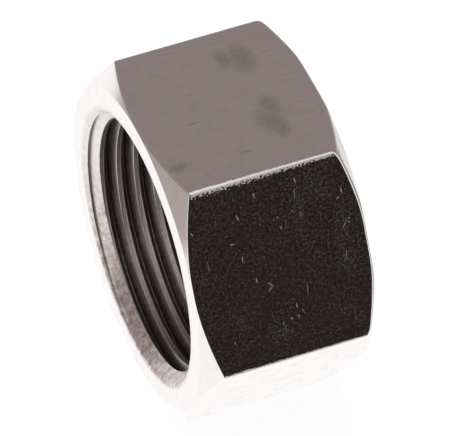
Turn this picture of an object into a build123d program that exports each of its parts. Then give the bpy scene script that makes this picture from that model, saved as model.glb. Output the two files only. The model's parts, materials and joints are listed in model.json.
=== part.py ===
from build123d import *
import math
import os

# Union nut of a compression tube fitting, turned from hexagon steel bar.
# One solid piece: it screws on to the fitting body, and its conical seat inside presses a
# clamping ring on to the tube, which passes out through the bore in its closed end.
# X runs along the axis, from the threaded mouth at minus X to the tube end at plus X.
# Z is up and the nut lies on one flat. The origin is on the axis, halfway along the nut.

# Metric fine thread of the fitting body
thread_diameter = 30.0
thread_pitch = 2.0

# Hexagon bar, which leaves this much wall between the thread and each flat
flat_wall = 3.0
nut_length = 20.0
bar_edge_radius = 0.3

# Corner chamfers: each one starts from a circle on its end face and is tilted from that face.
# At the mouth the circle lies just inside the flats. At the tube end it is wider than they are,
# so that chamfer takes only the corners off, and the corners are rounded over as well.
mouth_circle_inset = 0.1
mouth_chamfer_angle = 30.0
tube_circle_outset = 0.15
tube_chamfer_angle = 33.0
tube_corner_radius = 1.2

# Mouth of the threaded socket: a lead-in cone from just outside the thread, with a rolled lip
lead_in_clearance = 0.3
lead_in_angle = 45.0
mouth_lip_radius = 0.35

# Groove where the thread runs out, and the seat that presses the clamping ring
relief_clearance = 0.15
relief_width = 2.5
relief_shoulder_angle = 45.0
seat_angle = 45.0

# Passage for the tube
tube_diameter = 22.0
tube_clearance = 0.15
tube_bore_length = 3.65
tube_edge_chamfer = 0.4


def run(step, angle):
    """How far along the axis a cone goes while its radius changes by step.

    The angle is between the cone's wall and the axis, in degrees.
    """
    return step / math.tan(math.radians(angle))


# Radii worked out from these
across_flats = thread_diameter + 2 * flat_wall
corner_radius = across_flats / 2 / math.cos(math.radians(30))
mouth_circle_radius = across_flats / 2 - mouth_circle_inset
tube_circle_radius = across_flats / 2 + tube_circle_outset
thread_radius = thread_diameter / 2
thread_height = thread_pitch * math.sqrt(3) / 2
minor_radius = thread_radius - 5 / 8 * thread_height
lead_in_radius = thread_radius + lead_in_clearance
relief_radius = thread_radius + relief_clearance
bore_radius = tube_diameter / 2 + tube_clearance

# Places along the axis, from the mouth to the tube end
mouth_x = -nut_length / 2
tube_x = nut_length / 2
mouth_chamfer_x = mouth_x + run(corner_radius - mouth_circle_radius, 90 - mouth_chamfer_angle)
tube_chamfer_x = tube_x - run(corner_radius - tube_circle_radius, 90 - tube_chamfer_angle)
thread_start_x = mouth_x + run(lead_in_radius - minor_radius, lead_in_angle)
seat_end_x = tube_x - tube_bore_length
relief_end_x = seat_end_x - run(relief_radius - bore_radius, seat_angle)
relief_start_x = relief_end_x - relief_width
thread_end_x = relief_start_x - run(relief_radius - minor_radius, relief_shoulder_angle)
cutter_overrun = nut_length / 10

with BuildPart() as union_nut:
    # The bar, with its long edges as the drawing die leaves them
    with BuildSketch(Plane.YZ.offset(mouth_x)) as bar_section:
        RegularPolygon(radius=across_flats / 2, side_count=6, major_radius=False)
        fillet(bar_section.vertices(), radius=bar_edge_radius)
    extrude(amount=nut_length)

    # Both ends are turned in one outline, which gives each flat its curved ends
    with BuildSketch(Plane.XZ) as turned_outline:
        with BuildLine():
            Polyline(
                (mouth_x, 0),
                (mouth_x, mouth_circle_radius),
                (mouth_chamfer_x, corner_radius),
                (tube_chamfer_x, corner_radius),
                (tube_x, tube_circle_radius),
                (tube_x, 0),
                close=True,
            )
        make_face()
        tube_corner = turned_outline.vertices().group_by(Axis.Y)[-1].sort_by(Axis.X)[-1]
        fillet(tube_corner, radius=tube_corner_radius)
    revolve(axis=Axis.X, mode=Mode.INTERSECT)

    # The socket is bored to the thread's inner diameter, then narrows in the seat to the tube bore
    with BuildSketch(Plane.XZ):
        with BuildLine():
            Polyline(
                (mouth_x - cutter_overrun, 0),
                (mouth_x - cutter_overrun, lead_in_radius),
                (mouth_x, lead_in_radius),
                (thread_start_x, minor_radius),
                (thread_end_x, minor_radius),
                (relief_start_x, relief_radius),
                (relief_end_x, relief_radius),
                (seat_end_x, bore_radius),
                (tube_x + cutter_overrun, bore_radius),
                (tube_x + cutter_overrun, 0),
                close=True,
            )
        make_face()
    revolve(axis=Axis.X, mode=Mode.SUBTRACT)

    # The mouth has a rolled lip, and the tube bore a small chamfer
    round_edges = union_nut.edges().filter_by(GeomType.CIRCLE)
    mouth_edge = round_edges.group_by(Axis.X)[0].sort_by(SortBy.RADIUS)[0]
    tube_edge = round_edges.group_by(Axis.X)[-1].sort_by(SortBy.RADIUS)[0]
    fillet(mouth_edge, radius=mouth_lip_radius)
    chamfer(tube_edge, length=tube_edge_chamfer)

union_nut.part.label = "union_nut"

os.makedirs("parts", exist_ok=True)
export_step(union_nut.part, "parts/union_nut.step")

print("thread wall from", round(thread_start_x, 3), "to", round(thread_end_x, 3))
print("seat from", round(relief_end_x, 3), "to", round(seat_end_x, 3))
print("minor radius", round(minor_radius, 4), "volume", round(union_nut.part.volume, 1))
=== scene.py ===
import json
import math

import bpy
from mathutils import Matrix, Vector


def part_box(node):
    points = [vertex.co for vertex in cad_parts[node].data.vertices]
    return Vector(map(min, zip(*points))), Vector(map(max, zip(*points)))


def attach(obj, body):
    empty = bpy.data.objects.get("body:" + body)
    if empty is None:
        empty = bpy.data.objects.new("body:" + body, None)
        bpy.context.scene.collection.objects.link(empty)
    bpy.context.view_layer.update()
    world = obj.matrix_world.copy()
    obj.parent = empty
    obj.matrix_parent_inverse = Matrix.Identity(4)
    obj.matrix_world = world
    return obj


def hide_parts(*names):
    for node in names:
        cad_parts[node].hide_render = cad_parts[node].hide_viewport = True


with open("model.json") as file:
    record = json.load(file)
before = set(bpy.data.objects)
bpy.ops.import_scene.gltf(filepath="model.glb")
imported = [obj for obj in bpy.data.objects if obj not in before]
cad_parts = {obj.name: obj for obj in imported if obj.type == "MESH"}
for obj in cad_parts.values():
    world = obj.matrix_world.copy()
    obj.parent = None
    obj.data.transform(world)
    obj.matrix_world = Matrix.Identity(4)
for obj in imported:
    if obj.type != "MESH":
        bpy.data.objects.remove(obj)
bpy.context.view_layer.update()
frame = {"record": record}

# The bar that the nut is cut from: hexagon steel, drawn through a die that leaves its long edges
# slightly rounded, and turned down at both ends. Angles go round the axis, from the top flat to
# the front. Lengths are in millimetres, and MM turns them into the frame's metres.
MM = 0.001
node_low, node_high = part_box("union_nut")
mouth_x = node_low.x / MM
tube_x = node_high.x / MM
flat_radius = node_high.z / MM
long_edge_radius = node_high.y / MM
flat_count = 6
flat_degrees = 360 / flat_count
half_degrees = flat_degrees / 2
half_flat_angle = math.radians(half_degrees)
sharp_corner_radius = flat_radius / math.cos(half_flat_angle)
bar_edge_radius = 0.3

# Each end has a chamfer that starts at a circle on the end face and is tilted from that face.
# The edge between the chamfer and the bar is rounded over a setback to both sides, and at the
# tube end the corners are rounded off first, with a larger radius.
mouth_circle_inset, mouth_circle_rounding = 0.1, 0.1
mouth_chamfer_tilt = math.radians(30)
mouth_edge_setback = 0.16
mouth_circle_radius = flat_radius - mouth_circle_inset
tube_circle_outset, tube_circle_rounding = 0.15, 0.3
tube_chamfer_tilt = math.radians(33)
tube_edge_setback = 0.3
tube_corner_radius = 1.2
tube_circle_radius = flat_radius + tube_circle_outset
past_corner = 1.0  # how far the outline of each end goes on past the bar's sharp corner
arc_steps = 6


def rounded(points, radii):
    """A line through points (x, r), with an arc of each radius at its inner points."""
    line = [Vector(points[0])]
    for before, corner, after, radius in zip(points, points[1:], points[2:], radii):
        corner = Vector(corner)
        to_before = (Vector(before) - corner).normalized()
        to_after = (Vector(after) - corner).normalized()
        half_angle = to_before.angle(to_after) / 2
        centre = corner + (to_before + to_after).normalized() * (radius / math.sin(half_angle))
        first = corner + to_before * (radius / math.tan(half_angle)) - centre
        last = corner + to_after * (radius / math.tan(half_angle)) - centre
        for step in range(arc_steps + 1):
            spoke = first.lerp(last, step / arc_steps)
            line.append(centre + spoke.normalized() * radius)
    line.append(Vector(points[-1]))
    return line


def lengths(line):
    """The distance along the line at which each of its points lies."""
    found = [0.0]
    for a, b in zip(line, line[1:]):
        found.append(found[-1] + (b - a).length)
    return found


def point_at(line, along, distance):
    """The point of the line at that distance from its start."""
    for a, b, start, end in zip(line, line[1:], along, along[1:]):
        if distance <= end:
            return a.lerp(b, max(0.0, distance - start) / (end - start))
    return line[-1].copy()


def distance_at_radius(line, along, radius):
    """How far along an outline that only widens it reaches the radius."""
    for a, b, start, end in zip(line, line[1:], along, along[1:]):
        if b.y >= radius > a.y:
            return start + (end - start) * (radius - a.y) / (b.y - a.y)
    return along[-1]


def bar_radius(off_middle):
    """Distance from the axis to the bar's skin, at an angle from the middle of a flat."""
    off_corner = half_flat_angle - abs(off_middle)
    centre = long_edge_radius - bar_edge_radius
    flat_starts_at = math.atan2(
        bar_edge_radius * math.sin(half_flat_angle),
        centre + bar_edge_radius * math.cos(half_flat_angle),
    )
    if off_corner >= flat_starts_at:
        return flat_radius / math.cos(off_middle)
    reach = math.sqrt(bar_edge_radius**2 - (centre * math.sin(off_corner)) ** 2)
    return centre * math.cos(off_corner) + reach


# The threaded socket. On the real nut it is bored, threaded M30 x 2 to the right with a tap, and
# relieved where the thread ends, in front of the conical seat and the bore for the tube. The
# thread starts in a lead-in cone, which has a rolled lip at the mouth face.
mounts = {mount["name"]: mount for mount in frame["record"]["mounts"]}
thread_pitch = 2.0
minor_radius = mounts["thread"]["dims"]["r_mm"]
thread_height = thread_pitch * math.sqrt(3) / 2  # of the sharp ridge its profile is cut from
thread_radius = minor_radius + 5 / 8 * thread_height
root_clearance = 0.1
root_radius = thread_radius + root_clearance
flank_slope = math.sqrt(3)
crest_half_width = thread_pitch / 8
crest_rounding = 0.05
crest_at_first_edge_x = mouth_x + 1.95
first_flank_reach = 1.5  # how far in the thread's flanks that face the mouth keep the ends' material, without the thread's painted shade
halvings = 20  # for finding where the thread meets the cones
tolerance = 1e-9

# All cones of the socket have walls at 45 degrees, so each is as long as it is deep
cone_angle = math.radians(45)
lead_in_clearance = 0.3
lead_in_radius = thread_radius + lead_in_clearance
lip_radius = 0.35
lip_reach = lip_radius * math.tan(cone_angle / 2)
lip_end_x = mouth_x + lip_reach * math.cos(cone_angle)
lip_end_radius = lead_in_radius - lip_reach * math.sin(cone_angle)
bore_radius = mounts["tube_bore"]["dims"]["r_mm"]
bore_chamfer = 0.4
bore_start_x = tube_x - bore_chamfer - mounts["tube_bore"]["dims"]["length_mm"]
relief_clearance = 0.15
relief_width = 2.5
relief_radius = thread_radius + relief_clearance
relief_end_x = bore_start_x - (relief_radius - bore_radius)
relief_start_x = relief_end_x - relief_width


def turns(degrees):
    """The share of a turn from the first long edge, at that angle from the top flat."""
    return (degrees + half_degrees) / 360


def groove(x, turn):
    """Radius of the thread alone at x, after that share of a turn from the first long edge."""
    phase = (x - crest_at_first_edge_x) / thread_pitch - turn
    off_crest = abs(phase - round(phase)) * thread_pitch
    rise_start = crest_half_width - crest_rounding
    rise_end = crest_half_width + crest_rounding
    if off_crest <= rise_start:
        return minor_radius
    if off_crest < rise_end:
        return minor_radius + flank_slope * (off_crest - rise_start) ** 2 / (4 * crest_rounding)
    return min(minor_radius + flank_slope * (off_crest - crest_half_width), root_radius)


def thread_wall(x, turn):
    """Radius of the threaded wall, where the lead-in cone and the run-out cut the crests off."""
    lead_in = lead_in_radius - (x - mouth_x)
    run_out = relief_radius - (relief_start_x - x)
    return max(groove(x, turn), lead_in, run_out)


def change_between(low, high, turn):
    """Where between two rows the wall turns from thread to cone or back, or None."""
    def is_thread(x):
        return groove(x, turn) >= thread_wall(x, turn) - tolerance

    started_as = is_thread(low)
    if is_thread(high) == started_as:
        return None
    for _ in range(halvings):
        middle = (low + high) / 2
        if is_thread(middle) == started_as:
            low = middle
        else:
            high = middle
    return (low + high) / 2


# Rows of the thread, as shares of a pitch from the middle of a crest. They bunch up at the
# crest's rounded corners and at the root. There are spare pitches at both ends of the wall,
# because the rows follow the helix and move along by one pitch in a turn.
crest_share = crest_half_width / thread_pitch
rounding_share = crest_rounding / thread_pitch
root_share = crest_share + (root_radius - minor_radius) / flank_slope / thread_pitch
corner_shares = [crest_share + rounding_share * step / 2 for step in range(-2, 3)]
half_pitch = [0.0, 0.06, *corner_shares, 0.22, 0.3, 0.38, 0.44, root_share, 0.485]
pitch_shares = [-share for share in reversed(half_pitch[1:])] + half_pitch + [0.5]
rows_per_pitch = len(pitch_shares)
spare_pitches = 2
first_pitch = math.floor((lip_end_x - crest_at_first_edge_x) / thread_pitch) - spare_pitches
pitch_count = math.ceil((relief_start_x - lip_end_x) / thread_pitch) + 2 * spare_pitches
thread_rows = [
    crest_at_first_edge_x + (first_pitch + pitch + share) * thread_pitch
    for pitch in range(pitch_count)
    for share in pitch_shares
]

# The skin of the nut is one closed mesh, with columns round the axis and rows along the outline.
# The columns lie closer together at the six long edges. Each face has the finish that the bar,
# the lathe or the tap left there, and the plating covers all three.
DRAWN, TURNED, TAPPED = range(3)

# The columns of half a flat are in degrees from its long edge. In the list of all columns, each
# has its angle from the top flat, and from the middle of its own flat.
column_step = 1.5
edge_columns = [0.0, 0.12, 0.24, 0.34, 0.42, 0.6]
flat_columns = [column_step * step for step in range(1, round(half_degrees / column_step) + 1)]
half_flat = edge_columns + flat_columns
columns = []
for flat in range(flat_count):
    middle = flat * flat_degrees
    for off_corner in half_flat:
        columns.append((middle - half_degrees + off_corner, off_corner - half_degrees))
    for off_corner in reversed(half_flat[1:-1]):
        columns.append((middle + half_degrees - off_corner, half_degrees - off_corner))
columns_per_flat = len(columns) // flat_count

# Rows, as shares of the way along a face. They bunch up near its ends, for crisp edges.
end_face_shares = (0, 0.05, 0.5, 0.95)
chamfer_shares = (0.06, 0.2, 0.4, 0.6, 0.8, 0.94)
flat_shares = (0.005, 0.1, 0.3, 0.5, 0.7, 0.9, 0.985)
socket_shares = (0.02, 0.1, 0.5, 0.9, 0.98)
edge_steps = 5
lip_steps = 5
row_margin = 0.01  # rows of the thread stay at least this far from both of its ends
same_place = 0.0001  # points of a column that are nearer than this are one

mouth_chamfer_width = sharp_corner_radius + past_corner - mouth_circle_radius
mouth_line = rounded(
    [
        (mouth_x, lead_in_radius + lip_reach),
        (mouth_x, mouth_circle_radius),
        (
            mouth_x + mouth_chamfer_width * math.tan(mouth_chamfer_tilt),
            mouth_circle_radius + mouth_chamfer_width,
        ),
    ],
    [mouth_circle_rounding],
)
tube_corner_x = tube_x - (sharp_corner_radius - tube_circle_radius) * math.tan(tube_chamfer_tilt)
tube_line = rounded(
    [
        (tube_x, bore_radius + bore_chamfer),
        (tube_x, tube_circle_radius),
        (tube_corner_x, sharp_corner_radius),
        (tube_corner_x - past_corner, sharp_corner_radius),
    ],
    [tube_circle_rounding, tube_corner_radius],
)


def end_rows(line, radius, setback, inward):
    """Rows of one turned end at a column, from its face outwards and on to the bar's skin.

    The edge between the two is rounded over the setback, and inward is the way along X
    from this end into the bar.
    """
    along = lengths(line)
    edge_at = distance_at_radius(line, along, radius)
    edge = point_at(line, along, edge_at)
    stop = edge_at - setback
    arc = along[1:arc_steps + 2]
    rows = [point_at(line, along, min(arc[0] * share, stop)) for share in end_face_shares]
    for distance in arc:
        rows.append(point_at(line, along, min(distance, stop)))
    chamfer = max(stop - arc[-1], 0.0)
    for share in chamfer_shares:
        rows.append(point_at(line, along, min(arc[-1], stop) + chamfer * share))
    start = point_at(line, along, stop)
    end = Vector((edge.x + inward * setback, radius))
    for step in range(edge_steps + 1):
        t = step / edge_steps
        rows.append(start * (1 - t) ** 2 + edge * 2 * t * (1 - t) + end * t**2)
    return rows


lip_centre = Vector((mouth_x + lip_radius, lead_in_radius + lip_reach))
lip_rows = [Vector((lip_end_x, lip_end_radius))]
for step in range(1, lip_steps + 1):
    angle = cone_angle * (1 - step / lip_steps)
    lip_rows.append(lip_centre - Vector((math.cos(angle), math.sin(angle))) * lip_radius)

socket_corners = [
    Vector((tube_x, bore_radius + bore_chamfer)),
    Vector((tube_x - bore_chamfer, bore_radius)),
    Vector((bore_start_x, bore_radius)),
    Vector((relief_end_x, relief_radius)),
    Vector((relief_start_x, relief_radius)),
]
socket_rows = []
for a, b in zip(socket_corners, socket_corners[1:]):
    for share in socket_shares:
        socket_rows.append(a.lerp(b, share))
socket_rows.append(socket_corners[-1])

vertices = []


def add_column(points, angle):
    """Adds the points of one column, and returns their numbers. Points that coincide are one."""
    numbers = []
    for point in points:
        spot = Vector((point.x, -math.sin(angle) * point.y, math.cos(angle) * point.y)) * MM
        if not numbers or (spot - vertices[-1]).length > same_place * MM:
            vertices.append(spot)
        numbers.append(len(vertices) - 1)
    return numbers


rings = []
thread_x = []
thread_columns = []
for degrees, off_middle in columns:
    angle = math.radians(degrees)
    turn = turns(degrees)
    radius = bar_radius(math.radians(off_middle))
    near_end = end_rows(mouth_line, radius, mouth_edge_setback, 1)
    far_end = end_rows(tube_line, radius, tube_edge_setback, -1)
    start, end = near_end[-1], far_end[-1]
    flat_rows = [start.lerp(end, share) for share in flat_shares]
    outline = lip_rows + near_end + flat_rows + far_end[::-1] + socket_rows
    ring = add_column(outline, angle)
    rings.append(ring)

    row_x = [x + turn * thread_pitch for x in thread_rows]
    for i in range(len(row_x) - 1):
        if lip_end_x < row_x[i] and row_x[i + 1] < relief_start_x:
            change = change_between(row_x[i], row_x[i + 1], turn)
            if change is not None:
                nearer = i if change - row_x[i] < row_x[i + 1] - change else i + 1
                row_x[nearer] = change
    inside = [x for x in row_x if lip_end_x + row_margin < x < relief_start_x - row_margin]
    before = sum(x <= lip_end_x + row_margin for x in row_x)
    after = len(row_x) - before - len(inside)
    placed = add_column([Vector((x, thread_wall(x, turn))) for x in inside], angle)
    thread_x.append(row_x)
    thread_columns.append([ring[0]] * before + placed + [ring[-1]] * after)

last_mouth_row = len(lip_rows) + len(near_end) - 1
first_tube_row = last_mouth_row + len(flat_rows) + 1
ring_finish = [TURNED] * len(outline)
for i in range(last_mouth_row, first_tube_row):
    ring_finish[i] = DRAWN

faces = []
face_finish = []
face_flat = []


def add_face(corners, finish, flat):
    """A face through the corners, without those that are the same vertex."""
    kept = [corner for i, corner in enumerate(corners) if corner != corners[i - 1]]
    if len(set(kept)) >= 3:
        faces.append(kept)
        face_finish.append(finish)
        face_flat.append(flat)


for j in range(len(columns)):
    flat = j // columns_per_flat
    ring, beside = rings[j], rings[(j + 1) % len(columns)]
    for i in range(len(ring) - 1):
        add_face((ring[i], beside[i], beside[i + 1], ring[i + 1]), ring_finish[i], flat)
    column, beside = thread_columns[j], thread_columns[(j + 1) % len(columns)]
    shift = rows_per_pitch if j == len(columns) - 1 else 0
    turn = turns(columns[j][0])
    for i in range(len(column) - 1 - shift):
        corners = (column[i], column[i + 1], beside[i + 1 + shift], beside[i + shift])
        middle = (thread_x[j][i] + thread_x[j][i + 1]) / 2
        phase = (middle - crest_at_first_edge_x) / thread_pitch - turn
        faces_mouth = phase < round(phase) - (crest_share - rounding_share)
        # Flanks that face the mouth near it take the ends' material, without the thread's painted
        # shade
        unshaded_flank = faces_mouth and middle < mouth_x + first_flank_reach
        on_cone = groove(middle, turn) < thread_wall(middle, turn)
        add_face(corners, TURNED if unshaded_flank or on_cone else TAPPED, flat)

crease_angle = math.radians(38)
mesh = bpy.data.meshes.new("union_nut_skin")
mesh.from_pydata(vertices, [], faces)
mesh.polygons.foreach_set("material_index", face_finish)
mesh.shade_smooth()
mesh.set_sharp_from_angle(angle=crease_angle)

# Where each corner of a face lies on its own flat, for the materials, in millimetres: along the
# axis, across with a step from each flat to the next, and inwards from the nearest long edge.
# With it goes how far the scuffs reach in from there, at the first and second edge of each flat.
# They reach furthest at the front flat's upper edge, and less with each millimetre along the axis.
flat_half_width = (flat_radius - bar_edge_radius) * math.tan(half_flat_angle)
flat_spacing = 40
scuff_reach = [(0.05, 0.04), (0.3, 0.05), (0.06, 0.1), (0.1, 0.06), (0.06, 0.08), (0.08, 0.05)]
scuff_taper = 0.05
flat_places = []
reaches = []
for face, flat in zip(mesh.polygons, face_flat):
    middle = math.radians(flat * flat_degrees)
    for number in face.vertices:
        spot = mesh.vertices[number].co / MM
        across = -spot.y * math.cos(middle) - spot.z * math.sin(middle)
        flat_places += [spot.x, across + flat_spacing * flat, flat_half_width - abs(across)]
        reaches.append(scuff_reach[flat][0 if across < 0 else 1] * (1 - scuff_taper * spot.x))
mesh.attributes.new("on_flat", "FLOAT_VECTOR", "CORNER").data.foreach_set("vector", flat_places)
mesh.attributes.new("scuff_reach", "FLOAT", "CORNER").data.foreach_set("value", reaches)

nut = bpy.data.objects.new("nut", mesh)
bpy.context.scene.collection.objects.link(nut)
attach(nut, "root")
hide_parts("union_nut")

# Bright zinc plate over drawn steel, on the six flats. The die left faint streaks along the bar,
# the plating adds a fine grain, and handling adds pinpricks and short scratches, which catch
# light on a flat that mirrors something dark. Along the long edges the bar is scuffed.
plate_colour = "#EDEAE8"
haze_colour = "#CDC6C2"
pit_colour = "#8C837E"
smudge_colour = "#A09A90"
streak_length, streak_width = 5.0, 0.14
haze_size = 2.4
mottle_size = 0.3
grain_size = 0.17  # the real grain is under 0.05 mm, too fine to show
relief_depth = 0.007
grain_relief, damage_relief = 0.6, 0.4  # next to the streaks' height of one
ragged_size, raggedness = 0.25, 5.0  # width and depth of the notches in a scuff's inner line
scuff_tilt = math.radians(16)
pit_layers = [(0.8, 0.06), (1.7, 0.11)]  # spacing of the pits, and the radius of the largest
pit_rarity, pit_depth = 14.0, 0.8
scratch_spacing, scratch_length, scratch_width = 3.1, 1.8, 0.04
scratch_bend, scratch_depth = 0.6, 0.12
bright_roughness, mottled_roughness = 0.08, 0.24
added_by_haze, added_by_clouds = 0.08, 0.03
scuff_roughness, damage_roughness = 0.33, 0.5
TOP_FLAT, FRONT_FLAT = range(2)

# Nicks from handling, on the front flat: place along the axis and across, heading in degrees,
# and length. Their number and place are those of the nut that was photographed.
nick_width, nick_depth = 0.11, 3.0
nicks = [
    (-3.7, -6.4, 70, 0.8), (-1.5, 1.7, 45, 0.8), (-1.6, 2.2, 140, 0.7), (-2.9, 0.9, 80, 0.6),
    (-4.0, -1.8, 95, 0.6), (-4.8, -3.7, 15, 0.6), (3.2, -8.6, 75, 0.7), (8.0, -6.1, 90, 0.7),
    (7.5, -5.4, -35, 0.5), (8.3, -2.9, 75, 0.3), (8.2, -2.5, 70, 0.25), (0.9, 4.8, 90, 0.6),
    (0.9, 6.0, 85, 0.5), (-1.5, -8.3, 85, 0.7), (0.8, -4.0, 100, 0.4), (0.6, -5.2, 75, 0.3),
    (-0.9, 6.3, 90, 0.35), (0.1, 6.0, 60, 0.35), (-8.9, -6.0, 70, 0.5), (-6.5, 6.9, 85, 0.3),
]

# Finer and longer scratches on the same flat
hairline_width, hairline_depth = 0.07, 1.4
hairlines = [
    (2.4, 3.3, 95, 1.7), (7.7, -2.4, 125, 2.0), (7.3, 0.9, 95, 1.2), (-7.8, -2.0, 90, 1.6),
    (2.9, -7.3, 100, 1.1), (1.5, 5.6, 70, 0.8), (3.2, -4.8, 105, 0.8), (2.3, -5.4, 75, 0.6),
]

# Hazy patches on the same flat: place along the axis and across, heading, length and width
clouds = [
    (3.2, -5.4, 94, 7.6, 2.2), (5.6, -7.4, 80, 4.6, 3.4), (6.4, 7.2, 25, 4.8, 1.8),
    (-5.4, 4.9, 60, 2.8, 1.6), (7.4, -0.6, 90, 8.0, 2.4), (-1.6, 7.4, 0, 5.0, 2.0),
]

# Smudges on the top flat, given in the same way
smudges = [
    (4.2, -5.8, 80, 5.0, 3.2), (2.4, -6.4, 90, 3.0, 2.0), (4.4, 1.6, 80, 3.6, 2.2),
    (3.6, 3.8, 60, 4.4, 3.0), (4.3, 5.2, 100, 3.0, 2.2), (-4.2, 1.2, 0, 1.4, 0.3),
    (-0.5, 7.0, 0, 1.6, 0.35), (-8.0, 6.5, 0, 2.4, 1.4),
]


def linear(hex_colour):
    """An sRGB hex colour as the linear values that a socket takes."""
    parts = [int(hex_colour[i:i + 2], 16) / 255 for i in (1, 3, 5)]
    return [p / 12.92 if p <= 0.04045 else ((p + 0.055) / 1.055) ** 2.4 for p in parts] + [1.0]


def feed(tree, node, inputs):
    """Gives each named input of a node its value, or links it to a node or a node's output."""
    sockets = {socket.identifier: socket for socket in node.inputs}
    for key, value in inputs.items():
        if isinstance(value, bpy.types.Node):
            value = next(output for output in value.outputs if output.enabled)
        if isinstance(value, bpy.types.NodeSocket):
            tree.links.new(value, sockets[key])
        else:
            sockets[key].default_value = value


def add_node(tree, kind, inputs=None, **settings):
    """A new node with its settings and its inputs."""
    made = tree.nodes.new(kind)
    for name, value in settings.items():
        setattr(made, name, value)
    feed(tree, made, inputs or {})
    return made


drawn = bpy.data.materials.new("zinc_plate_on_drawn_steel")
drawn.use_nodes = True
tree = drawn.node_tree
shader = tree.nodes["Principled BSDF"]
flat_place = add_node(tree, "ShaderNodeAttribute", attribute_name="on_flat").outputs["Vector"]
flat_axes = add_node(tree, "ShaderNodeSeparateXYZ", {"Vector": flat_place})
on_surface = add_node(tree, "ShaderNodeVectorMath", {
    "Vector": flat_place, "Vector_001": (1, 1, 0),
}, operation="MULTIPLY")

# Streaks, grain, haze and mottling
stretched = add_node(tree, "ShaderNodeVectorMath", {
    "Vector": flat_place, "Vector_001": (1 / streak_length, 1 / streak_width, 0),
}, operation="MULTIPLY")
streaks = add_node(tree, "ShaderNodeTexNoise", {
    "Vector": stretched, "Scale": 1.0, "Detail": 2.0,
}, noise_dimensions="2D")
grain = add_node(tree, "ShaderNodeTexNoise", {
    "Vector": flat_place, "Scale": 1 / grain_size, "Detail": 2.0,
}, noise_dimensions="2D")
haze_noise = add_node(tree, "ShaderNodeTexNoise", {
    "Vector": flat_place, "Scale": 1 / haze_size, "Detail": 5.0, "Roughness": 0.65,
}, noise_dimensions="2D")
haze = add_node(tree, "ShaderNodeMapRange", {
    "Value": haze_noise, "From Min": 0.45, "From Max": 0.75, "To Min": 0.0, "To Max": 0.45,
})
mottle = add_node(tree, "ShaderNodeTexNoise", {
    "Vector": flat_place, "Scale": 1 / mottle_size, "Detail": 4.0, "Roughness": 0.75,
}, noise_dimensions="2D")
dull = add_node(tree, "ShaderNodeMapRange", {
    "Value": mottle, "From Min": 0.42, "From Max": 0.72, "To Min": 0.0, "To Max": 0.3,
})
streaky = add_node(tree, "ShaderNodeMapRange", {
    "Value": streaks, "From Min": 0.55, "From Max": 0.75, "To Min": 0.0, "To Max": 0.5,
})


def pits_in(pattern_place, spacing, radius, rarity, depth, **settings):
    """Pits, one in each cell of a pattern, as a node that gives the depth in their middle.

    Each has a random share of the radius, raised to the power of rarity: where that is high,
    most pits are far too small to see, and few are larger.
    """
    scaled = add_node(tree, "ShaderNodeVectorMath", {
        "Vector": pattern_place, "Scale": 1 / spacing,
    }, operation="SCALE")
    cell = add_node(tree, "ShaderNodeTexVoronoi", {"Vector": scaled, "Scale": 1.0}, **settings)
    chance = add_node(tree, "ShaderNodeSeparateColor", {"Color": cell.outputs["Color"]})
    size = add_node(tree, "ShaderNodeMath", {
        "Value": chance, "Value_001": rarity,
    }, operation="POWER")
    reach = add_node(tree, "ShaderNodeMath", {
        "Value": size, "Value_001": radius / spacing, "Value_002": 0.001,
    }, operation="MULTIPLY_ADD")
    return add_node(tree, "ShaderNodeMapRange", {
        "Value": cell.outputs["Distance"],
        "From Min": 0.0,
        "From Max": reach,
        "To Min": depth,
        "To Max": 0.0,
    })


pits = None
for spacing, radius in pit_layers:
    layer = pits_in(
        flat_place, spacing, radius, pit_rarity, pit_depth, voronoi_dimensions="2D"
    )
    pits = layer if pits is None else add_node(tree, "ShaderNodeMath", {
        "Value": pits, "Value_001": layer,
    }, operation="MAXIMUM")

# Faint scratches, slightly bent, one in each cell and each with its own heading and length
scaled = add_node(tree, "ShaderNodeVectorMath", {
    "Vector": flat_place, "Scale": 1 / scratch_spacing,
}, operation="SCALE")
cell = add_node(tree, "ShaderNodeTexVoronoi", {
    "Vector": scaled, "Scale": 1.0,
}, voronoi_dimensions="2D")
chance = add_node(tree, "ShaderNodeSeparateColor", {"Color": cell.outputs["Color"]})
offset = add_node(tree, "ShaderNodeVectorMath", {
    "Vector": scaled, "Vector_001": cell.outputs["Position"],
}, operation="SUBTRACT")
heading = add_node(tree, "ShaderNodeMath", {
    "Value": chance.outputs["Red"], "Value_001": math.pi,
}, operation="MULTIPLY")
turned_offset = add_node(tree, "ShaderNodeVectorRotate", {
    "Vector": offset, "Angle": heading,
}, rotation_type="Z_AXIS")
local = add_node(tree, "ShaderNodeSeparateXYZ", {"Vector": turned_offset})
sag = add_node(tree, "ShaderNodeMath", {
    "Value": local.outputs["X"], "Value_001": local.outputs["X"],
}, operation="MULTIPLY")
bent = add_node(tree, "ShaderNodeMath", {
    "Value": sag, "Value_001": scratch_bend, "Value_002": local.outputs["Y"],
}, operation="MULTIPLY_ADD")
half_length = add_node(tree, "ShaderNodeMath", {
    "Value": chance.outputs["Green"], "Value_001": scratch_length / scratch_spacing / 2,
}, operation="MULTIPLY")
along_line = add_node(tree, "ShaderNodeMath", {"Value": local.outputs["X"]}, operation="ABSOLUTE")
on_length = add_node(tree, "ShaderNodeMath", {
    "Value": along_line, "Value_001": half_length,
}, operation="LESS_THAN")
off_line = add_node(tree, "ShaderNodeMath", {"Value": bent}, operation="ABSOLUTE")
on_line = add_node(tree, "ShaderNodeMapRange", {
    "Value": off_line,
    "From Min": scratch_width / scratch_spacing / 2,
    "From Max": 0.0,
    "To Max": scratch_depth,
})
scratches = add_node(tree, "ShaderNodeMath", {
    "Value": on_length, "Value_001": on_line,
}, operation="MULTIPLY")


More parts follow.
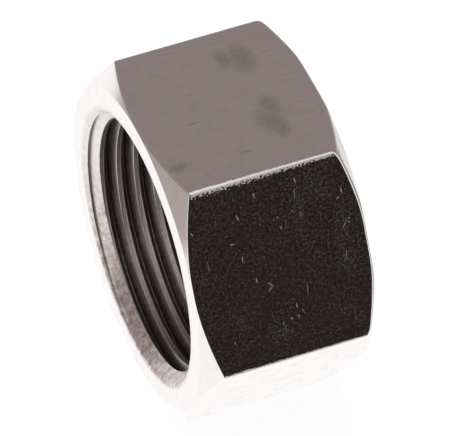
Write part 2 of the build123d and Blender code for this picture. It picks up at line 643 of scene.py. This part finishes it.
def off_oval(flat, x, across, turn, length, width):
    """Distance from the middle of an oval on a flat, as a node that gives 1 at its rim."""
    spot = add_node(tree, "ShaderNodeMapping", {
        "Vector": on_surface,
        "Location": (x, across + flat_spacing * flat, 0),
        "Rotation": (0, 0, math.radians(turn)),
        "Scale": (length / 2, width / 2, 1),
    }, vector_type="TEXTURE")
    return add_node(tree, "ShaderNodeVectorMath", {"Vector": spot}, operation="LENGTH")


# The listed nicks and scratches, each a narrow oval
damage = add_node(tree, "ShaderNodeMath", {
    "Value": pits, "Value_001": scratches,
}, operation="MAXIMUM")
for marks, width, depth in (
    (nicks, nick_width, nick_depth),
    (hairlines, hairline_width, hairline_depth),
):
    for x, across, turn, length in marks:
        mark = add_node(tree, "ShaderNodeMapRange", {
            "Value": off_oval(FRONT_FLAT, x, across, turn, length, width),
            "From Min": 1.1,
            "From Max": 0.0,
            "To Min": 0.0,
            "To Max": depth,
        })
        damage = add_node(tree, "ShaderNodeMath", {
            "Value": damage, "Value_001": mark,
        }, operation="MAXIMUM")

# Along the long edges the flat is scuffed up to a ragged line, and tilts outwards there
reach = add_node(tree, "ShaderNodeAttribute", attribute_name="scuff_reach").outputs["Fac"]
in_reaches = add_node(tree, "ShaderNodeMath", {
    "Value": flat_axes.outputs["Z"], "Value_001": reach,
}, operation="DIVIDE")
ragged = add_node(tree, "ShaderNodeTexNoise", {
    "Vector": flat_place, "Scale": 1 / ragged_size, "Detail": 3.0, "Roughness": 0.6,
}, noise_dimensions="2D")
ragged_reach = add_node(tree, "ShaderNodeMath", {
    "Value": ragged, "Value_001": raggedness, "Value_002": in_reaches,
}, operation="MULTIPLY_ADD")
scuff = add_node(tree, "ShaderNodeMapRange", {
    "Value": ragged_reach, "From Min": raggedness / 2 + 1.0, "From Max": raggedness / 2 + 0.6,
})
on_flat_side = add_node(tree, "ShaderNodeMapRange", {
    "Value": in_reaches, "From Min": -0.3, "From Max": 0.0,
})
tilted = add_node(tree, "ShaderNodeMath", {
    "Value": scuff, "Value_001": on_flat_side,
}, operation="MULTIPLY")
slope = add_node(tree, "ShaderNodeMath", {
    "Value": flat_axes.outputs["Z"], "Value_001": math.tan(scuff_tilt) * MM,
}, operation="MULTIPLY")
rolled = add_node(tree, "ShaderNodeBump", {"Height": slope, "Strength": tilted, "Distance": 1.0})

# Colour: haze, streaks, smudges and pits over the plate
cloudy = add_node(tree, "ShaderNodeMath", {"Value": dull, "Value_001": haze}, operation="MAXIMUM")
cloudy = add_node(tree, "ShaderNodeMath", {
    "Value": cloudy, "Value_001": streaky,
}, operation="MAXIMUM")
hazy = add_node(tree, "ShaderNodeMix", {
    "Factor_Float": cloudy, "A_Color": linear(plate_colour), "B_Color": linear(haze_colour),
}, data_type="RGBA")


def soft_ovals(flat, marks):
    """Ovals on a flat that fade outwards, as a node that gives 1 in their middle."""
    ovals = None
    for mark in marks:
        oval = add_node(tree, "ShaderNodeMapRange", {
            "Value": off_oval(flat, *mark), "From Min": 1.3, "From Max": 0.2,
        }, interpolation_type="SMOOTHSTEP")
        ovals = oval if ovals is None else add_node(tree, "ShaderNodeMath", {
            "Value": ovals, "Value_001": oval,
        }, operation="MAXIMUM")
    return ovals


patchy = add_node(tree, "ShaderNodeMapRange", {
    "Value": mottle, "From Min": 0.4, "From Max": 0.65, "To Min": 0.25, "To Max": 0.65,
})
smudged = add_node(tree, "ShaderNodeMath", {
    "Value": soft_ovals(TOP_FLAT, smudges), "Value_001": patchy,
}, operation="MULTIPLY")
smeared = add_node(tree, "ShaderNodeMix", {
    "Factor_Float": smudged, "A_Color": hazy, "B_Color": linear(smudge_colour),
}, data_type="RGBA")
pitted = add_node(tree, "ShaderNodeMix", {
    "Factor_Float": pits, "A_Color": smeared, "B_Color": linear(pit_colour),
}, data_type="RGBA")

# Roughness: mottling and haze make the polish uneven, and the scuffs and marks are duller
mottled = add_node(tree, "ShaderNodeMapRange", {
    "Value": mottle,
    "From Min": 0.4,
    "From Max": 0.64,
    "To Min": bright_roughness,
    "To Max": mottled_roughness,
})
polish = add_node(tree, "ShaderNodeMath", {
    "Value": haze, "Value_001": added_by_haze, "Value_002": mottled,
}, operation="MULTIPLY_ADD")
polish = add_node(tree, "ShaderNodeMath", {
    "Value": soft_ovals(FRONT_FLAT, clouds), "Value_001": added_by_clouds, "Value_002": polish,
}, operation="MULTIPLY_ADD")
worn = add_node(tree, "ShaderNodeMapRange", {
    "Value": scuff, "To Min": polish, "To Max": scuff_roughness,
})
roughness = add_node(tree, "ShaderNodeMapRange", {
    "Value": damage, "To Min": worn, "To Max": damage_roughness,
})

# Relief: streaks and grain, with the pits and marks sunk into it
relief = add_node(tree, "ShaderNodeMath", {
    "Value": grain, "Value_001": grain_relief, "Value_002": streaks,
}, operation="MULTIPLY_ADD")
relief = add_node(tree, "ShaderNodeMath", {
    "Value": damage, "Value_001": -damage_relief, "Value_002": relief,
}, operation="MULTIPLY_ADD")
bump = add_node(tree, "ShaderNodeBump", {
    "Height": relief, "Strength": 1.0, "Distance": relief_depth * MM, "Normal": rolled,
})
feed(tree, shader, {"Base Color": pitted, "Roughness": roughness, "Normal": bump, "Metallic": 1})
mesh.materials.append(drawn)

# Bright zinc plate over turned steel, on both ends and in the socket, apart from its thread. The
# lathe's fine rings go round the axis, so a highlight spreads a little across them. Inside the
# socket the plate is duller and darkened by a mottled painted shade, most of it in the lower half.
ring_spacing = 0.14  # the real feed is about 0.05 mm, too fine to show
ring_depth = 0.002
pit_spacing, pit_radius = 1.2, 0.14
pit_rarity, pit_depth = 4.0, 1.5
end_roughness, socket_roughness = 0.16, 0.4
# The socket's painted shade: its colour, the size of its mottling, and where it starts and is full
socket_shade_colour = "#A2877D"
socket_shade_size = 0.7
socket_shade_starts_at = lead_in_radius + 0.6
socket_shade_is_full_at = lead_in_radius + 0.1


def places_round_axis():
    """A place, its coordinates, its distance from the nut's axis, and X with that distance."""
    place = add_node(tree, "ShaderNodeTexCoord").outputs["Object"]
    axes = add_node(tree, "ShaderNodeSeparateXYZ", {"Vector": place})
    across_axis = add_node(tree, "ShaderNodeCombineXYZ", {
        "Y": axes.outputs["Y"], "Z": axes.outputs["Z"],
    })
    off_axis = add_node(tree, "ShaderNodeVectorMath", {"Vector": across_axis}, operation="LENGTH")
    ring_place = add_node(tree, "ShaderNodeCombineXYZ", {"X": axes.outputs["X"], "Y": off_axis})
    return place, axes, off_axis, ring_place


turned = bpy.data.materials.new("zinc_plate_on_turned_steel")
turned.use_nodes = True
tree = turned.node_tree
shader = tree.nodes["Principled BSDF"]
place_in_frame, axes, off_axis, ring_place = places_round_axis()
rings_cut = add_node(tree, "ShaderNodeTexNoise", {
    "Vector": ring_place, "Scale": 1 / ring_spacing / MM, "Detail": 2.0,
}, noise_dimensions="2D")
haze_noise = add_node(tree, "ShaderNodeTexNoise", {
    "Vector": place_in_frame, "Scale": 1 / haze_size / MM, "Detail": 5.0, "Roughness": 0.65,
})
haze = add_node(tree, "ShaderNodeMapRange", {"Value": haze_noise, "From Min": 0.5, "From Max": 1.4})
hazy = add_node(tree, "ShaderNodeMix", {
    "Factor_Float": haze, "A_Color": linear(plate_colour), "B_Color": linear(haze_colour),
}, data_type="RGBA")
inner = add_node(tree, "ShaderNodeMapRange", {
    "Value": off_axis,
    "From Min": socket_shade_starts_at * MM,
    "From Max": socket_shade_is_full_at * MM,
})
before_tube_end = add_node(tree, "ShaderNodeMapRange", {
    "Value": axes.outputs["X"],
    "From Min": (tube_x - bore_chamfer) * MM,
    "From Max": (tube_x - 2 * bore_chamfer) * MM,
})
in_socket = add_node(tree, "ShaderNodeMath", {
    "Value": inner, "Value_001": before_tube_end,
}, operation="MULTIPLY")
# Painted shade, stronger towards the bottom of the socket
low_down = add_node(tree, "ShaderNodeMapRange", {
    "Value": axes.outputs["Z"],
    "From Min": 0.0,
    "From Max": -minor_radius * MM,
    "To Min": 0.2,
    "To Max": 1.0,
})
socket_shade_noise = add_node(tree, "ShaderNodeTexNoise", {
    "Vector": place_in_frame, "Scale": 1 / socket_shade_size / MM, "Detail": 5.0, "Roughness": 0.7,
})
socket_shade = add_node(tree, "ShaderNodeMapRange", {
    "Value": socket_shade_noise, "From Min": 0.35, "From Max": 0.68, "To Min": 0.0, "To Max": low_down,
})
socket_shade = add_node(tree, "ShaderNodeMath", {
    "Value": in_socket, "Value_001": socket_shade,
}, operation="MULTIPLY")
socket_shaded = add_node(tree, "ShaderNodeMix", {
    "Factor_Float": socket_shade, "A_Color": hazy, "B_Color": linear(socket_shade_colour),
}, data_type="RGBA")
pits = pits_in(place_in_frame, pit_spacing * MM, pit_radius * MM, pit_rarity, pit_depth)
pitted = add_node(tree, "ShaderNodeMix", {
    "Factor_Float": pits, "A_Color": socket_shaded, "B_Color": linear(pit_colour),
}, data_type="RGBA")
polish = add_node(tree, "ShaderNodeMapRange", {
    "Value": in_socket, "To Min": end_roughness, "To Max": socket_roughness,
})
roughness = add_node(tree, "ShaderNodeMapRange", {
    "Value": pits, "To Min": polish, "To Max": damage_roughness,
})
bump = add_node(tree, "ShaderNodeBump", {
    "Height": rings_cut, "Strength": 1.0, "Distance": ring_depth * MM,
})
feed(tree, shader, {"Base Color": pitted, "Roughness": roughness, "Normal": bump, "Metallic": 1})
mesh.materials.append(turned)

# Zinc plate over the tapped thread, dull and darkened by painted shade, darkest in its root, and
# the tap's and the boring tool's lines go round it.
# Colours of the thread with painted shade, lighter at the crest and darkest in the root
shaded_crest_colour = "#C8C3C0"
shaded_root_colour = "#6F6865"
line_spacing = 0.12  # the real lines are about 0.03 mm apart, too fine to show
line_depth = 0.008
blotch_size = 0.5
smooth_thread_roughness, blotched_thread_roughness = 0.25, 0.42

tapped = bpy.data.materials.new("zinc_plate_in_tapped_thread_with_painted_shade")
tapped.use_nodes = True
tree = tapped.node_tree
shader = tree.nodes["Principled BSDF"]
place_in_frame, _, off_axis, ring_place = places_round_axis()
lines = add_node(tree, "ShaderNodeTexNoise", {
    "Vector": ring_place, "Scale": 1 / line_spacing / MM, "Detail": 2.0,
}, noise_dimensions="2D")
painted_groove_shade = add_node(tree, "ShaderNodeMapRange", {
    "Value": off_axis,
    "From Min": minor_radius * MM,
    "From Max": root_radius * MM,
})
blotches = add_node(tree, "ShaderNodeTexNoise", {
    "Vector": place_in_frame, "Scale": 1 / blotch_size / MM, "Detail": 4.0,
})
uneven = add_node(tree, "ShaderNodeMath", {
    "Value": blotches, "Value_001": 0.9, "Value_002": -1.25,
}, operation="MULTIPLY_ADD")
uneven = add_node(tree, "ShaderNodeMath", {
    "Value": lines, "Value_001": 1.7, "Value_002": uneven,
}, operation="MULTIPLY_ADD")
# Painted shade deepest in the groove's root, with the blotches and lines
groove_shade_and_blotches = add_node(tree, "ShaderNodeMath", {
    "Value": painted_groove_shade, "Value_001": uneven,
}, operation="ADD", use_clamp=True)
colour = add_node(tree, "ShaderNodeMix", {
    "Factor_Float": groove_shade_and_blotches, "A_Color": linear(shaded_crest_colour), "B_Color": linear(shaded_root_colour),
}, data_type="RGBA")
roughness = add_node(tree, "ShaderNodeMapRange", {
    "Value": blotches, "To Min": smooth_thread_roughness, "To Max": blotched_thread_roughness,
})
bump = add_node(tree, "ShaderNodeBump", {
    "Height": lines, "Strength": 1.0, "Distance": line_depth * MM,
})
feed(tree, shader, {"Base Color": colour, "Roughness": roughness, "Normal": bump, "Metallic": 1})
mesh.materials.append(tapped)

# The floor is plain white paper under the nut, which keeps its soft shadow. In the polished faces
# it mirrors as an evenly lit sheet that ends a short way off, where the room begins.
floor_size = 4
paper_colour, paper_glow = "#898989", 0.85
sheet_centre = (-0.03, 0.02, node_low.z)
sheet_radius, sheet_fade = 0.08, 0.035
sheet_colour, sheet_strength = "#FFFEFF", 1.1
white = "#FFFFFF"

bpy.ops.mesh.primitive_plane_add(size=floor_size, location=(0, 0, node_low.z))
floor = bpy.context.object
floor.name = "floor"
white_paper = bpy.data.materials.new("white_paper")
white_paper.use_nodes = True
tree = white_paper.node_tree
tree.nodes.clear()
rays = add_node(tree, "ShaderNodeLightPath")
where = add_node(tree, "ShaderNodeNewGeometry")
away = add_node(tree, "ShaderNodeVectorMath", {
    "Vector": where.outputs["Position"], "Vector_001": sheet_centre,
}, operation="DISTANCE")
beyond_sheet = add_node(tree, "ShaderNodeMapRange", {
    "Value": away, "From Min": sheet_radius, "From Max": sheet_radius + sheet_fade,
}, interpolation_type="SMOOTHSTEP")
paper = add_node(tree, "ShaderNodeBsdfDiffuse", {"Color": linear(paper_colour)})
glow = add_node(tree, "ShaderNodeEmission", {"Color": linear(white), "Strength": paper_glow})
seen = add_node(tree, "ShaderNodeAddShader", {"Shader": paper, "Shader_001": glow})
lit_sheet = add_node(tree, "ShaderNodeEmission", {
    "Color": linear(sheet_colour), "Strength": sheet_strength,
})
beyond = add_node(tree, "ShaderNodeBsdfTransparent", {"Color": linear(white)})
mirrored = add_node(tree, "ShaderNodeMixShader", {
    "Fac": beyond_sheet, "Shader": lit_sheet, "Shader_001": beyond,
})
mixed = add_node(tree, "ShaderNodeMixShader", {
    "Fac": rays.outputs["Is Glossy Ray"], "Shader": seen, "Shader_001": mirrored,
})
add_node(tree, "ShaderNodeOutputMaterial", {"Surface": mixed})
floor.data.materials.append(white_paper)

# The light is a plain, soft studio: an even glow all round and one large lamp overhead. What the
# metal mirrors are the studio's cards: white ones left, right and overhead, with a black one
# between them at the front, on a grey wall. The camera sees plain white behind the nut.
wall_colour = "#918585"
even_light = 0.6

# Each card: name, turn from the front and half width, height and half height, softness of its
# edge (all in degrees), colour and strength. A later card covers an earlier one.
all_round = 400
cards = [
    ("horizon", 0, all_round, -40, 50, 16, "#B5A8A4", 1.0),
    ("left", -66, 18, 0, 22, 12, "#FFF8F5", 1.2),
    ("black front", -8, 50, 9, 29, 6, "#1F1713", 1.0),
    ("front high", 0, 70, 66, 24, 8, "#EDDFDF", 1.0),
    ("right", 48, 12, 5, 40, 6, "#FFFCFA", 1.05),
    ("right low", 76, 15, -12, 16, 6, "#7C7371", 1.0),
    ("ceiling", 0, all_round, 95, 34, 5, white, 1.1),
]

world = bpy.data.worlds.new("studio")
bpy.context.scene.world = world
world.use_nodes = True
tree = world.node_tree
tree.nodes.clear()
rays = add_node(tree, "ShaderNodeLightPath")
direction = add_node(tree, "ShaderNodeTexCoord")
axes = add_node(tree, "ShaderNodeSeparateXYZ", {"Vector": direction.outputs["Generated"]})
toward_front = add_node(tree, "ShaderNodeMath", {
    "Value": axes.outputs["Y"], "Value_001": -1.0,
}, operation="MULTIPLY")
azimuth = add_node(tree, "ShaderNodeMath", {
    "Value": axes.outputs["X"], "Value_001": toward_front,
}, operation="ARCTAN2")
elevation = add_node(tree, "ShaderNodeMath", {"Value": axes.outputs["Z"]}, operation="ARCSINE")
colour = linear(wall_colour)
for name, turn, half_width, height, half_height, soft, tone, strength in cards:
    steps = []
    for angle, middle, half in ((azimuth, turn, half_width), (elevation, height, half_height)):
        off = add_node(tree, "ShaderNodeMath", {
            "Value": angle, "Value_001": math.radians(middle),
        }, operation="SUBTRACT")
        if angle is azimuth:
            off = add_node(tree, "ShaderNodeMath", {
                "Value": off, "Value_001": math.pi, "Value_002": -math.pi,
            }, operation="WRAP")
        off = add_node(tree, "ShaderNodeMath", {"Value": off}, operation="ABSOLUTE")
        steps.append(add_node(tree, "ShaderNodeMapRange", {
            "Value": off,
            "From Min": math.radians(half - soft / 2),
            "From Max": math.radians(half + soft / 2),
            "To Min": 1.0,
            "To Max": 0.0,
        }, interpolation_type="SMOOTHSTEP"))
    inside = add_node(tree, "ShaderNodeMath", {
        "Value": steps[0], "Value_001": steps[1],
    }, operation="MULTIPLY", label=name)
    shine = [part * strength for part in linear(tone)]
    colour = add_node(tree, "ShaderNodeMix", {
        "Factor_Float": inside, "A_Color": colour, "B_Color": shine,
    }, data_type="RGBA")
even = add_node(tree, "ShaderNodeBackground", {"Color": linear(white), "Strength": even_light})
backdrop = add_node(tree, "ShaderNodeBackground", {"Color": linear(white), "Strength": 1.0})
room = add_node(tree, "ShaderNodeBackground", {"Color": colour, "Strength": 1.0})
lit = add_node(tree, "ShaderNodeMixShader", {
    "Fac": rays.outputs["Is Glossy Ray"], "Shader": even, "Shader_001": room,
})
shown = add_node(tree, "ShaderNodeMixShader", {
    "Fac": rays.outputs["Is Camera Ray"], "Shader": lit, "Shader_001": backdrop,
})
add_node(tree, "ShaderNodeOutputWorld", {"Surface": shown})

lamp_data = bpy.data.lights.new("soft_lamp", "AREA")
lamp_data.size = 0.5
lamp_data.energy = 1.5
lamp = bpy.data.objects.new("soft_lamp", lamp_data)
lamp.location = (-0.05, 0.1, 0.6)
lamp.visible_glossy = False
bpy.context.scene.collection.objects.link(lamp)

# The camera is a long lens that looks down at the mouth and two flats, from the front left. Its
# place was fitted to the photo's outline, and aim moves it sideways and up from the nut's centre.
view_azimuth = math.radians(-23.507)
view_elevation = math.radians(47.083)
view_roll = math.radians(1.323)
view_distance = 0.74136
aim_right, aim_up = 0.000355, 0.000461

back = Vector((
    math.sin(view_azimuth) * math.cos(view_elevation),
    -math.cos(view_azimuth) * math.cos(view_elevation),
    math.sin(view_elevation),
))
level = Vector((math.cos(view_azimuth), math.sin(view_azimuth), 0))
upright = back.cross(level)
right = level * math.cos(view_roll) + upright * math.sin(view_roll)
up = upright * math.cos(view_roll) - level * math.sin(view_roll)
camera_data = bpy.data.cameras.new("camera")
camera_data.lens = 552.3
camera_data.sensor_width = 36
camera_data.clip_start = 0.01
camera_data.clip_end = 20
camera = bpy.data.objects.new("camera", camera_data)
bpy.context.scene.collection.objects.link(camera)
place_of_camera = back * view_distance + level * aim_right + upright * aim_up
turned_to_nut = Matrix((right, up, back)).transposed().to_4x4()
camera.matrix_world = Matrix.Translation(place_of_camera) @ turned_to_nut
bpy.context.scene.camera = camera
bpy.context.scene.view_settings.view_transform = "Standard"
